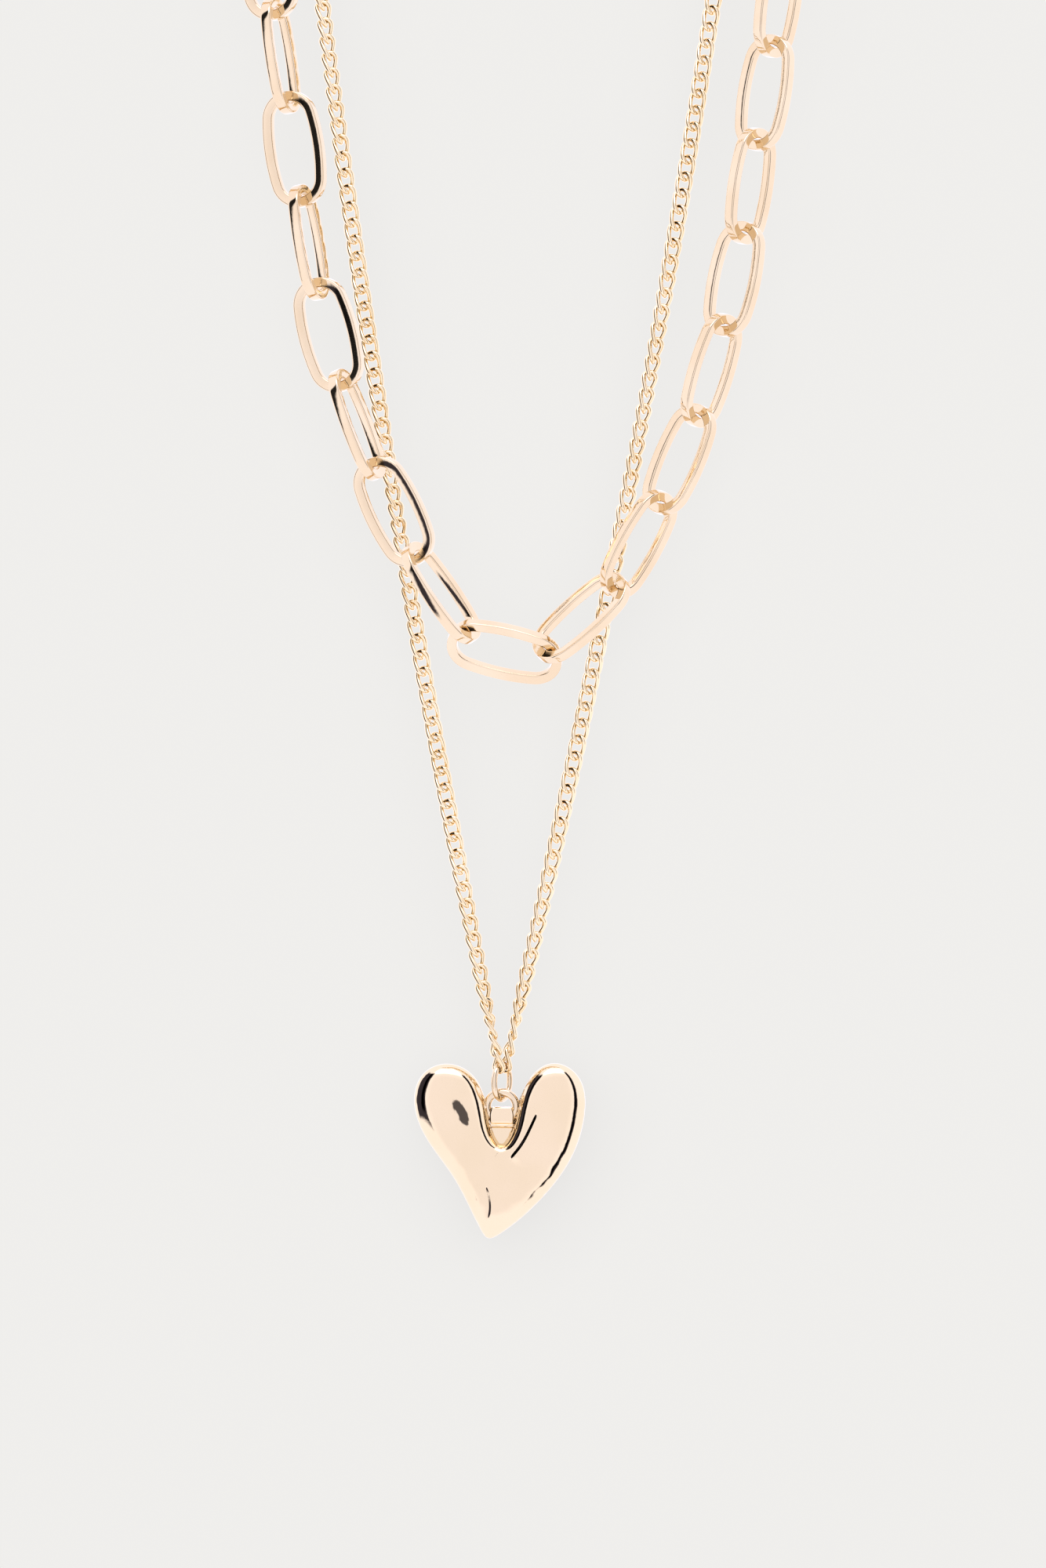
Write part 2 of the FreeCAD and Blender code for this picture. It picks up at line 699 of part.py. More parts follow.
def extender_centre(index):
    first = -(EXTENDER_LENGTH / 2 - EXTENDER_WIRE - CONNECTOR_WIRE / 2 - CLEARANCE)
    return Vector(RIGHT_BAR_X, 0, first - index * EXTENDER_PITCH)


def tag_centre():
    last = extender_centre(EXTENDER_SEGMENTS * EXTENDER_LINKS_PER_SEGMENT - 1)
    link_bottom = last.z - EXTENDER_LENGTH / 2 + EXTENDER_WIRE / 2
    eye_z = link_bottom + EXTENDER_WIRE / 2 + 2 * CLEARANCE - TAG_EYE_BORE
    return Vector(RIGHT_BAR_X, 0, eye_z - TAG_EYE_OFFSET)


def make_tag():
    """End tag: a flat ring with the open bore, a chain eye on top and a charm eye below."""
    tag = plate(disc(TAG_RADIUS, 0, 0), TAG_THICKNESS)
    for eye_z in (TAG_EYE_OFFSET, -TAG_EYE_OFFSET):
        tag = tag.fuse(plate(disc(TAG_EYE_RADIUS, 0, eye_z), TAG_THICKNESS))
        tag = tag.cut(plate(disc(TAG_EYE_BORE, 0, eye_z), 3 * TAG_THICKNESS))
    tag = tag.cut(plate(disc(TAG_BORE, 0, 0), 3 * TAG_THICKNESS))
    return tag.removeSplitter().Solids[0].translated(tag_centre())


CHARM_RING_RADIUS = 1.1
CHARM_RING_WIRE = 0.6
CHARM_RADIUS = 1.7
CHARM_LENGTH = 6.0
CHARM_TOP_RADIUS = 0.45
CHARM_NECK_RADIUS = 0.75


def make_charm():
    """Drop-shaped charm with its own wire ring, turned square to the tag."""
    bar_z = -TAG_EYE_OFFSET - TAG_EYE_BORE + CHARM_RING_WIRE / 2 + 2 * CLEARANCE
    middle = tag_centre() + Vector(0, 0, bar_z - CHARM_RING_RADIUS)
    ring = Part.makeTorus(CHARM_RING_RADIUS, CHARM_RING_WIRE / 2, middle, Vector(1, 0, 0))
    top = middle + Vector(0, 0, CHARM_RING_WIRE / 3 - CHARM_RING_RADIUS)
    bulb_z = -CHARM_LENGTH + CHARM_RADIUS
    side = Part.BSplineCurve()
    side.interpolate(Points=[Vector(CHARM_TOP_RADIUS, 0, 0), Vector(CHARM_NECK_RADIUS, 0, bulb_z * 0.4),
                             Vector(CHARM_RADIUS, 0, bulb_z), Vector(0, 0, -CHARM_LENGTH)])
    edges = [
        Part.LineSegment(Vector(0, 0, 0), Vector(CHARM_TOP_RADIUS, 0, 0)).toShape(),
        side.toShape(),
        Part.LineSegment(Vector(0, 0, -CHARM_LENGTH), Vector(0, 0, 0)).toShape(),
    ]
    drop = Part.Face(Part.Wire(edges)).revolve(Vector(0, 0, 0), Vector(0, 0, 1), 360)
    drop.translate(top)
    return ring.fuse(drop).Solids[0]


def build_extender():
    template = make_extender_link()
    down = Vector(0, 0, -1)
    for segment in range(EXTENDER_SEGMENTS):
        solids = []
        for place in range(EXTENDER_LINKS_PER_SEGMENT):
            index = segment * EXTENDER_LINKS_PER_SEGMENT + place
            roll = 90 if index % 2 else 0
            solids.append(lay_link(template, extender_centre(index), down, roll))
        save("extender_segment_%d" % (segment + 1), solids)
    save("extender_tag", [make_tag()])
    save("extender_charm", [make_charm()])


def main():
    os.makedirs("parts", exist_ok=True)
    build_closure()
    build_paperclip_strand()
    build_curb_strand()
    build_pendant()
    build_extender()


main()
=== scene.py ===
import json
import math

import bpy
import numpy as np
from mathutils import Matrix, Vector

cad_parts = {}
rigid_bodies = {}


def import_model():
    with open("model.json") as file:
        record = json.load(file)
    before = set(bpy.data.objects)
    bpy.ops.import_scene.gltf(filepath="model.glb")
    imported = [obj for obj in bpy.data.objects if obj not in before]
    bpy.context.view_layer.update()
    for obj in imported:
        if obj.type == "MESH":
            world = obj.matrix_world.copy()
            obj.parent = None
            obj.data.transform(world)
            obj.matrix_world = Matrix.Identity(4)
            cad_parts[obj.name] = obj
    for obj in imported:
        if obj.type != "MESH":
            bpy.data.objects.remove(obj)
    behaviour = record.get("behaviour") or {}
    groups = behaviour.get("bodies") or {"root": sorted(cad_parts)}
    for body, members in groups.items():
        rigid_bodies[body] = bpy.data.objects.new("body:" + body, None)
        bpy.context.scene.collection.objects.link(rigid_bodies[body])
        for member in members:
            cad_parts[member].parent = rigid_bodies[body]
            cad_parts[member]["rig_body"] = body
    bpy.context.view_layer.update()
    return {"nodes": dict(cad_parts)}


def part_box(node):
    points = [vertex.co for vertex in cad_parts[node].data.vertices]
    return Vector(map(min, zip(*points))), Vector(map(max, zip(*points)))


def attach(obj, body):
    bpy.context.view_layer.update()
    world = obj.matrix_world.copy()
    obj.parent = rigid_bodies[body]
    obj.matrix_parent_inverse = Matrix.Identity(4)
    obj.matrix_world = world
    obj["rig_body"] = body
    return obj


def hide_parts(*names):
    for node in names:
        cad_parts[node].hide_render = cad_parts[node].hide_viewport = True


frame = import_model()

# Everything is in metres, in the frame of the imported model: +Z up, the front faces -Y.
MM = 0.001
FRONT = np.array([0.0, -1.0, 0.0])


# ---------- link places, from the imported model

def solids_of(node):
    """Vertex positions and triangles of each separate solid in a CAD node."""
    mesh = frame["nodes"][node].data
    mesh.calc_loop_triangles()
    points = np.zeros(len(mesh.vertices) * 3)
    mesh.vertices.foreach_get("co", points)
    points = points.reshape(-1, 3)
    triangles = np.zeros(len(mesh.loop_triangles) * 3, int)
    mesh.loop_triangles.foreach_get("vertices", triangles)
    grid = np.round(points / (0.002 * MM)).astype(np.int64)
    _, merged = np.unique(grid, axis=0, return_inverse=True)
    triangles = triangles.reshape(-1, 3)
    corners = merged.ravel()[triangles]
    label = np.arange(merged.max() + 1)
    while True:
        lowest = label[corners].min(axis=1)
        updated = label.copy()
        for corner in range(3):
            np.minimum.at(updated, corners[:, corner], lowest)
        updated = updated[updated]
        if (updated == label).all():
            break
        label = updated
    owner = label[corners[:, 0]]
    return [points[triangles[owner == solid]] for solid in np.unique(owner)]


def surface_moments(triangles):
    """Area centroid and area covariance of a set of triangles (n, 3 corners, 3)."""
    cross = np.cross(triangles[:, 1] - triangles[:, 0], triangles[:, 2] - triangles[:, 0])
    area = np.linalg.norm(cross, axis=1) / 2
    middle = triangles.mean(axis=1)
    centre = (middle * area[:, None]).sum(axis=0) / area.sum()
    corners = triangles - centre
    middle = middle - centre
    second = np.einsum("n,nki,nkj->ij", area / 12, corners, corners)
    second += np.einsum("n,ni,nj->ij", area * 9 / 12, middle, middle)
    return centre, second / area.sum()


def straight_frame(triangles):
    """Centre and axes (length, width, thickness) of a flat link."""
    centre, spread = surface_moments(triangles)
    _, vectors = np.linalg.eigh(spread)
    length, width = vectors[:, 2], vectors[:, 1]
    return centre, np.array([length, width, np.cross(length, width)])


def bar_angle(triangles, centre, axes, side):
    """Angle of a twisted link's end bar about the link's length, from its second axis."""
    local = (triangles - centre) @ axes.T
    reach = local[:, :, 0].max() if side > 0 else -local[:, :, 0].min()
    near_end = (side * local[:, :, 0]).min(axis=1) > 0.72 * reach
    _, spread = surface_moments(local[near_end])
    _, vectors = np.linalg.eigh(spread[1:, 1:])
    return math.atan2(vectors[1, 1], vectors[0, 1])


def twisted_frame(triangles, twist):
    """Centre and axes of a curb link whose end bars are turned by plus and minus the twist."""
    centre, spread = surface_moments(triangles)
    _, vectors = np.linalg.eigh(spread)
    length = vectors[:, 2]
    side = np.cross(length, FRONT)
    side /= np.linalg.norm(side)
    axes = np.array([length, side, np.cross(length, side)])
    far = bar_angle(triangles, centre, axes, 1)
    near = bar_angle(triangles, centre, axes, -1)
    turn = (far - near) % math.pi
    near_from_middle = turn / 2 if abs(turn - 2 * twist) < math.radians(20) else twist
    middle = near + near_from_middle
    width = axes[1] * math.cos(middle) + axes[2] * math.sin(middle)
    return centre, np.array([length, width, np.cross(length, width)])


# ---------- mesh building

def make_object(name, points, faces, material):
    mesh = bpy.data.meshes.new(name)
    mesh.from_pydata([tuple(p) for p in points], [], [tuple(int(i) for i in f) for f in faces])
    mesh.shade_smooth()
    mesh.materials.append(material)
    mesh.update()
    made = bpy.data.objects.new(name, mesh)
    bpy.context.scene.collection.objects.link(made)
    return made


def closed_sweep(path, section, reference):
    """Points and quads of a section (m, 2) swept round a closed path (n, 3).
    reference(i, tangent) gives the direction of the section's second axis."""
    count, around = len(path), len(section)
    tangents = np.roll(path, -1, axis=0) - np.roll(path, 1, axis=0)
    tangents /= np.linalg.norm(tangents, axis=1)[:, None]
    points = np.zeros((count, around, 3))
    for i in range(count):
        up = reference(i, tangents[i])
        up = up - tangents[i] * (up @ tangents[i])
        up /= np.linalg.norm(up)
        out = np.cross(tangents[i], up)
        points[i] = path[i] + section[:, :1] * out + section[:, 1:] * up
    ring = np.arange(around)
    following = (ring + 1) % around
    faces = []
    for i in range(count):
        here, there = i * around, ((i + 1) % count) * around
        faces.append(np.stack([here + ring, here + following, there + following, there + ring],
                              axis=1))
    return points.reshape(-1, 3), np.concatenate(faces)


def carried_reference(path):
    """Section directions carried along a closed path with no net twist."""
    count = len(path)
    tangents = np.roll(path, -1, axis=0) - np.roll(path, 1, axis=0)
    tangents /= np.linalg.norm(tangents, axis=1)[:, None]
    start = np.cross(tangents[0], [0.3, 0.5, 0.8])
    ups = [start / np.linalg.norm(start)]
    for i in range(1, count + 1):
        tangent = tangents[i % count]
        up = ups[-1] - tangent * (ups[-1] @ tangent)
        ups.append(up / np.linalg.norm(up))
    last, first, tangent = ups[-1], ups[0], tangents[0]
    gap = math.atan2(np.cross(last, first) @ tangent, last @ first)
    out = []
    for i in range(count):
        angle = gap * i / count
        side = np.cross(tangents[i], ups[i])
        out.append(ups[i] * math.cos(angle) + side * math.sin(angle))
    return lambda i, tangent: out[i]


def circle_section(radius, count):
    angle = np.linspace(0, 2 * math.pi, count, endpoint=False)
    return np.stack([radius * np.cos(angle), radius * np.sin(angle)], axis=1)


def soft_square_section(width, corner, crown, per_corner, per_side):
    """Square wire section with rounded corners and slightly crowned faces."""
    half = width / 2
    flat = half - corner
    out = []
    for quarter in range(4):
        angle = quarter * math.pi / 2
        for step in range(per_side):
            v = -flat + 2 * flat * step / per_side
            bulge = crown * (1 - (v / flat) ** 2)
            out.append((half - crown + bulge, v, angle))
        for step in range(per_corner):
            bend = math.pi / 2 * step / per_corner
            u = flat + corner * math.cos(bend) - crown * math.cos(bend) ** 4
            v = flat + corner * math.sin(bend) - crown * math.sin(bend) ** 4
            out.append((u, v, angle))
    return np.array([(u * math.cos(a) - v * math.sin(a), u * math.sin(a) + v * math.cos(a))
                     for u, v, a in out])


def place(points, centre, axes):
    return centre + points @ axes


def chain_piece(name, template, frames, material):
    """One mesh of many copies of a template link, one for each frame."""
    points, faces = template
    all_points = [place(points, centre, axes) for centre, axes in frames]
    all_faces = [faces + index * len(points) for index in range(len(frames))]
    return make_object(name, np.concatenate(all_points), np.concatenate(all_faces), material)


RING_STEPS = 96
RING_WIRE_STEPS = 24


def ring_mesh(name, centre, normal, radius, wire_radius, material):
    """Round ring of round wire."""
    normal = np.array(normal, float)
    normal /= np.linalg.norm(normal)
    first = np.cross(normal, [0.0, 0.0, 1.0])
    if np.linalg.norm(first) < 0.1:
        first = np.cross(normal, [1.0, 0.0, 0.0])
    first /= np.linalg.norm(first)
    second = np.cross(normal, first)
    angle = np.linspace(0, 2 * math.pi, RING_STEPS, endpoint=False)[:, None]
    path = centre + radius * (np.cos(angle) * first + np.sin(angle) * second)
    section = circle_section(wire_radius, RING_WIRE_STEPS)
    points, faces = closed_sweep(path, section, lambda i, tangent: normal)
    return make_object(name, points, faces, material)


# ---------- link shapes

LINK_LENGTH = 14.6 * MM
LINK_WIDTH = 7.6 * MM
LINK_END_RADIUS = 2.9 * MM
LINK_WIRE = 1.15 * MM
# The wire is deeper than the CAD's and its outer face wider, with the extra outside the link.
LINK_DEPTH = 1.30 * MM
LINK_FACE = 1.42 * MM
LINK_CORNER = 0.24 * MM
LINK_CROWN = 0.010 * MM
LINK_SECTION_STEPS = 6
LINK_END_STEPS = 36
LINK_SIDE_STEPS = 26


def arc_points(centre, start, axis, turn, count):
    """Points along an arc about an axis, without the last one."""
    arm = start - centre
    axis = axis / np.linalg.norm(axis)
    out = []
    for step in range(count):
        angle = turn * step / count
        out.append(centre + arm * math.cos(angle) + np.cross(axis, arm) * math.sin(angle)
                   + axis * (axis @ arm) * (1 - math.cos(angle)))
    return out


def on_circle(radius, angle):
    return radius * np.array([math.cos(angle), math.sin(angle), 0])


def outward_sign(path):
    """1 if a swept section's first axis points out of a closed path about the origin, else -1."""
    tangent = path[1] - path[-1]
    return math.copysign(1.0, np.cross(tangent, [0.0, 0.0, 1.0]) @ path[0])


def paperclip_template():
    """Oval of four arcs swept with a soft, nearly square wire."""
    half_length = (LINK_LENGTH - LINK_WIRE) / 2
    half_width = (LINK_WIDTH - LINK_WIRE) / 2
    inset = half_length - LINK_END_RADIUS
    side_radius = ((inset ** 2 + half_width ** 2 - LINK_END_RADIUS ** 2)
                   / (2 * (half_width - LINK_END_RADIUS)))
    side_angle = math.atan2(inset, side_radius - half_width)
    end_angle = math.pi / 2 - side_angle
    up = np.array([0.0, 0.0, 1.0])
    path = []
    for side in (1, -1):
        end_centre = np.array([side * inset, 0, 0])
        start_angle = (0 if side > 0 else math.pi) - end_angle
        start = end_centre + on_circle(LINK_END_RADIUS, start_angle)
        path += arc_points(end_centre, start, up, 2 * end_angle, LINK_END_STEPS)
        side_centre = np.array([0, side * (half_width - side_radius), 0])
        start_angle = side * math.pi / 2 - side_angle
        start = side_centre + on_circle(side_radius, start_angle)
        path += arc_points(side_centre, start, up, 2 * side_angle, LINK_SIDE_STEPS)
    section = soft_square_section(LINK_DEPTH, LINK_CORNER, LINK_CROWN,
                                  LINK_SECTION_STEPS, LINK_SECTION_STEPS)
    outward = outward_sign(path)
    share = outward * section[:, 0] / LINK_DEPTH + 0.5
    section[:, 1] *= (LINK_WIRE + (LINK_FACE - LINK_WIRE) * share) / LINK_DEPTH
    section[:, 0] += (LINK_DEPTH - LINK_WIRE) / 2 * outward
    return closed_sweep(np.array(path), section, lambda i, tangent: up)


CURB_TWIST = math.radians(-48)
CURB_LENGTH = 3.64 * MM
CURB_WIDTH = 2.3 * MM
CURB_WIRE = 0.60 * MM
CURB_BEND_STEPS = 24
CURB_SIDE_STEPS = 12
CURB_WIRE_STEPS = 16


def curb_template():
    """A flat oval link turned steadily about its long axis."""
    bend = (CURB_WIDTH - CURB_WIRE) / 2
    half = (CURB_LENGTH - CURB_WIRE) / 2
    straight = half - bend
    flat = []
    for end in (1, -1):
        turns = np.linspace(-math.pi / 2, math.pi / 2, CURB_BEND_STEPS, endpoint=False)
        flat += [(end * (straight + bend * math.cos(turn)), end * bend * math.sin(turn))
                 for turn in turns]
        runs = np.linspace(straight, -straight, CURB_SIDE_STEPS, endpoint=False)
        flat += [(end * run, end * bend) for run in runs]
    flat = np.array(flat)
    turn = CURB_TWIST * flat[:, 0] / half
    path = np.stack([flat[:, 0], flat[:, 1] * np.cos(turn), flat[:, 1] * np.sin(turn)], axis=1)
    section = circle_section(CURB_WIRE / 2, CURB_WIRE_STEPS)
    return closed_sweep(path, section, carried_reference(path))


# ---------- node materials

def add(tree, kind, settings=None, **sockets):
    """New shader node; sockets are linked or set by name, with underscores for spaces."""
    made = tree.nodes.new(kind)
    for key, value in (settings or {}).items():
        setattr(made, key, value)
    for key, value in sockets.items():
        socket = made.inputs[key.replace("_", " ")]
        if isinstance(value, bpy.types.NodeSocket):
            tree.links.new(value, socket)
        else:
            socket.default_value = value
    return made


def calc(tree, operation, first, second=0.0, third=0.0):
    made = tree.nodes.new("ShaderNodeMath")
    made.operation = operation
    for socket, value in zip(made.inputs, (first, second, third)):
        if isinstance(value, bpy.types.NodeSocket):
            tree.links.new(value, socket)
        else:
            socket.default_value = value
    return made.outputs[0]


def ramp_between(tree, value, low, high):
    """0 below low, 1 above high, with a soft step between."""
    made = add(tree, "ShaderNodeMapRange", {"interpolation_type": "SMOOTHSTEP"},
               Value=value, From_Min=low, From_Max=high)
    return made.outputs["Result"]


def band(tree, value, low, high, soft):
    """1 between low and high, 0 outside, with soft edges."""
    rise = ramp_between(tree, value, low - soft, low + soft)
    fall = ramp_between(tree, value, high - soft, high + soft)
    return calc(tree, "MULTIPLY", rise, calc(tree, "SUBTRACT", 1.0, fall))


def directions(tree, vector):
    """Azimuth (0 towards the viewer, positive to the right) and height, in degrees."""
    x, y, z = add(tree, "ShaderNodeSeparateXYZ", Vector=vector).outputs
    turn = calc(tree, "ARCTAN2", x, calc(tree, "MULTIPLY", y, -1.0))
    azimuth = calc(tree, "MULTIPLY", turn, 180 / math.pi)
    height = calc(tree, "MULTIPLY", calc(tree, "ARCSINE", z), 180 / math.pi)
    return azimuth, height


PANEL_SOFT = (2.0, 3.0)


def dark_panels(tree, vector, panels):
    """1 where a direction meets one of the dark panels (azimuths from, to, heights from, to)."""
    azimuth, height = directions(tree, vector)
    total = 0.0
    for left, right, low, high in panels:
        across = band(tree, azimuth, left, right, PANEL_SOFT[0])
        panel = calc(tree, "MULTIPLY", across, band(tree, height, low, high, PANEL_SOFT[1]))
        total = calc(tree, "MAXIMUM", total, panel)
    return total


def mirrored(tree, normal):
    """Direction that is seen in a mirror with this normal."""
    incoming = add(tree, "ShaderNodeNewGeometry").outputs["Incoming"]
    away = add(tree, "ShaderNodeVectorMath", {"operation": "SCALE"},
               Vector=incoming, Scale=-1.0).outputs[0]
    made = add(tree, "ShaderNodeVectorMath", {"operation": "REFLECT"})
    tree.links.new(away, made.inputs[0])
    tree.links.new(normal, made.inputs[1])
    return made.outputs[0]


def noise(tree, place_socket, scale, detail, roughness, seed):
    made = add(tree, "ShaderNodeTexNoise", {"noise_dimensions": "4D"},
               Vector=place_socket, W=seed, Scale=scale, Detail=detail, Roughness=roughness)
    return made.outputs["Fac"]


def mix_colour(tree, factor, first, second):
    made = add(tree, "ShaderNodeMix", {"data_type": "RGBA"})
    for index, value in ((0, factor), (6, first), (7, second)):
        if isinstance(value, bpy.types.NodeSocket):
            tree.links.new(value, made.inputs[index])
        else:
            made.inputs[index].default_value = value
    return made.outputs[2]


def new_material(name):
    material = bpy.data.materials.new(name)
    material.use_nodes = True
    tree = material.node_tree
    tree.nodes.clear()
    return material, tree


# Azimuths and heights, in degrees, of mirrored directions for which a point on the dent's wall is
# painted dark, a painted reflection.
DENT_PANELS = [(-70, 14, -60, 60)]
# How far the dent's wall is painted dark, a painted reflection.
DENT_SHADE = 0.93
# Colour of the painted dark reflection, mixed into the metal where it would mirror a dark panel.
PAINTED_REFLECTION_DARK = (0.03, 0.022, 0.018, 1.0)


def plated_metal(name, light, deep, roughness, ripple, grain, seed, panels=()):
    """Polished plating: tone drifts over the piece, with fine ripples, pits and handling marks.
    Where it would mirror one of the panels its colour is painted dark, a painted reflection as of
    a dark screen in the studio."""
    material, tree = new_material(name)
    place_socket = add(tree, "ShaderNodeTexCoord").outputs["Object"]
    drift = noise(tree, place_socket, 140.0, 2.0, 0.5, seed)
    speck = noise(tree, place_socket, 2600.0, 2.0, 0.6, seed + 3.0)
    tone = calc(tree, "ADD", ramp_between(tree, drift, 0.3, 0.7),
                calc(tree, "MULTIPLY", calc(tree, "SUBTRACT", speck, 0.5), 0.5))
    colour = mix_colour(tree, tone, (*deep, 1.0), (*light, 1.0))
    stretched = add(tree, "ShaderNodeMapping", Vector=place_socket, Rotation=(0.4, 0.9, 0.3),
                    Scale=(1.0, 1.0, 14.0)).outputs["Vector"]
    scratch = ramp_between(tree, noise(tree, stretched, 900.0, 2.0, 0.5, seed + 7.0), 0.60, 0.72)
    rough = calc(tree, "MULTIPLY_ADD", drift, roughness, roughness * 0.6)
    rough = calc(tree, "MULTIPLY_ADD", scratch, 0.05, rough)
    broad = noise(tree, place_socket, 700.0, 2.0, 0.5, seed + 11.0)
    fine = noise(tree, place_socket, 6500.0, 2.0, 0.6, seed + 13.0)
    height = calc(tree, "ADD", calc(tree, "MULTIPLY", broad, ripple),
                  calc(tree, "MULTIPLY", fine, grain))
    height = calc(tree, "MULTIPLY_ADD", scratch, -0.15 * grain, height)
    bump = add(tree, "ShaderNodeBump", Height=height, Strength=1.0, Distance=0.001)
    # Painted reflection: the colour is painted dark where the mirrored direction meets a panel,
    # and in the dent's wall.
    if panels:
        seen = mirrored(tree, bump.outputs["Normal"])
        shade = dark_panels(tree, seen, panels)
        # The dent's wall gets a painted dark reflection of its own, over a wider set of
        # directions.
        wall = add(tree, "ShaderNodeAttribute", {"attribute_name": "dent_wall"}).outputs["Fac"]
        in_wall = calc(tree, "MULTIPLY", wall, dark_panels(tree, seen, DENT_PANELS))
        shade = calc(tree, "MAXIMUM", shade, calc(tree, "MULTIPLY", in_wall, DENT_SHADE))
        colour = mix_colour(tree, shade, colour, PAINTED_REFLECTION_DARK)
    shader = add(tree, "ShaderNodeBsdfPrincipled", Base_Color=colour, Metallic=1.0,
                 Roughness=rough, Normal=bump.outputs["Normal"])
    add(tree, "ShaderNodeOutputMaterial", Surface=shader.outputs[0])
    return material


# Each list of panels gives where that metal's colour gets a painted dark reflection.
ROSE = plated_metal("rose_gold_plate", (0.815, 0.652, 0.43), (0.765, 0.59, 0.365),
                    0.045, 0.010, 0.0010, 1.0, [(-58, -48, -36, -8), (41, 64, -20, 55)])
CURB = plated_metal("curb_plate", (0.90, 0.73, 0.465), (0.86, 0.68, 0.40),
                    0.06, 0.006, 0.0008, 21.0, [(-82, -43, -30, 55), (44, 60, -37, 55)])
HEART = plated_metal("heart_plate", (0.85, 0.675, 0.44), (0.82, 0.65, 0.41),
                     0.045, 0.016, 0.0010, 41.0, [(-100, -42, -20.5, 52), (43, 58, -37, 55)])
STEEL = plated_metal("spring_steel", (0.72, 0.72, 0.74), (0.60, 0.60, 0.62),
                     0.16, 0.006, 0.0015, 61.0)
MATERIALS = {"rose_gold_plate": ROSE, "curb_plate": CURB, "heart_plate": HEART,
             "spring_steel": STEEL}


# ---------- riding pieces

def stand_in(made, node):
    """The made object stands for a CAD node and moves with its body."""
    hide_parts(node)
    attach(made, frame["nodes"][node]["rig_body"])


def dress(node, slot):
    """Show a CAD node as it is, in one of the materials."""
    shown = frame["nodes"][node]
    shown.data.materials.clear()
    shown.data.materials.append(MATERIALS[slot])


def build_chains():
    link = paperclip_template()
    curb = curb_template()
    for node in sorted(frame["nodes"]):
        if node.startswith("paperclip"):
            frames = [straight_frame(solid) for solid in solids_of(node)]
            stand_in(chain_piece(node + "_look", link, frames, ROSE), node)
        elif node.startswith("curb_section"):
            frames = [twisted_frame(solid, CURB_TWIST) for solid in solids_of(node)]
            stand_in(chain_piece(node + "_look", curb, frames, CURB), node)


# ---------- heart

# Positions on the heart are (x, z) in mm about the bottom of the notch, as seen from the front.
HEART_LEFT = [(0.0, 0.0), (-1.0, 1.6), (-1.9, 5.4), (-3.9, 9.5), (-7.2, 10.7), (-10.1, 9.3),
              (-11.1, 6.4), (-9.6, 1.4), (-6.0, -3.6), (-3.3, -8.6), (-1.6, -11.8)]
HEART_RIGHT = [(-1.6, -11.8), (1.2, -9.9), (5.2, -6.2), (9.0, -0.8), (10.5, 4.6), (9.6, 9.4),
               (6.4, 11.0), (3.4, 8.9), (2.0, 4.6), (1.2, 1.7), (0.0, 0.0)]
HEART_MIDDLE = np.array([-0.8, -1.0])
HEART_OUTLINE_STEPS = 260
HEART_OUTLINE_BLURS = 60
HEART_OUTLINE_SCALE = 1.015
HEART_RINGS = 110
HEART_FRONT = 2.7
HEART_BACK = 1.5
HEART_NOTCH_DROP = 5.4
LOOP_RADIUS = 1.75
LOOP_WIRE = 0.8


def spline(points, count):
    """Natural cubic through points, sampled evenly, without the last point."""
    points = np.array(points, float)
    knots = np.concatenate([[0], np.cumsum(np.linalg.norm(np.diff(points, axis=0), axis=1))])
    step = np.diff(knots)
    size = len(points)
    matrix = np.eye(size)
    target = np.zeros((size, 2))
    for i in range(1, size - 1):
        matrix[i, i - 1:i + 2] = step[i - 1], 2 * (step[i - 1] + step[i]), step[i]
        target[i] = 6 * ((points[i + 1] - points[i]) / step[i]
                         - (points[i] - points[i - 1]) / step[i - 1])
    bend = np.linalg.solve(matrix, target)
    at = np.linspace(0, knots[-1], count, endpoint=False)
    i = np.clip(np.searchsorted(knots, at, side="right") - 1, 0, size - 2)
    h = step[i][:, None]
    a = (knots[i + 1] - at)[:, None] / h
    b = 1 - a
    return (a * points[i] + b * points[i + 1]
            + ((a ** 3 - a) * bend[i] + (b ** 3 - b) * bend[i + 1]) * h ** 2 / 6)


def softened(outline, times):
    """Closed outline with its corners blurred."""
    for _ in range(times):
        outline = (np.roll(outline, 1, axis=0) + 2 * outline + np.roll(outline, -1, axis=0)) / 4
    return outline


def heart_outline():
    outline = np.concatenate([spline(HEART_LEFT, HEART_OUTLINE_STEPS),
                              spline(HEART_RIGHT, HEART_OUTLINE_STEPS)])
    blurred = softened(outline, HEART_OUTLINE_BLURS)
    return HEART_MIDDLE + (blurred - HEART_MIDDLE) * HEART_OUTLINE_SCALE


def inside(points, outline):
    """Even-odd test of points (n, 2) against a closed outline."""
    result = np.zeros(len(points), bool)
    x, z = points[:, 0], points[:, 1]
    for a, b in zip(outline, np.roll(outline, -1, axis=0)):
        crosses = (a[1] > z) != (b[1] > z)
        if crosses.any():
            at = a[0] + (z - a[1]) * (b[0] - a[0]) / (b[1] - a[1] if b[1] != a[1] else 1e-9)
            result ^= crosses & (x < at)
    return result


GRID_STEP = 0.12
GRID_LOW = np.array([-12.6, -13.2])
GRID_SIZE = (206, 212)
PUFF_REACH = 1.9
PUFF_STEPS = 1500


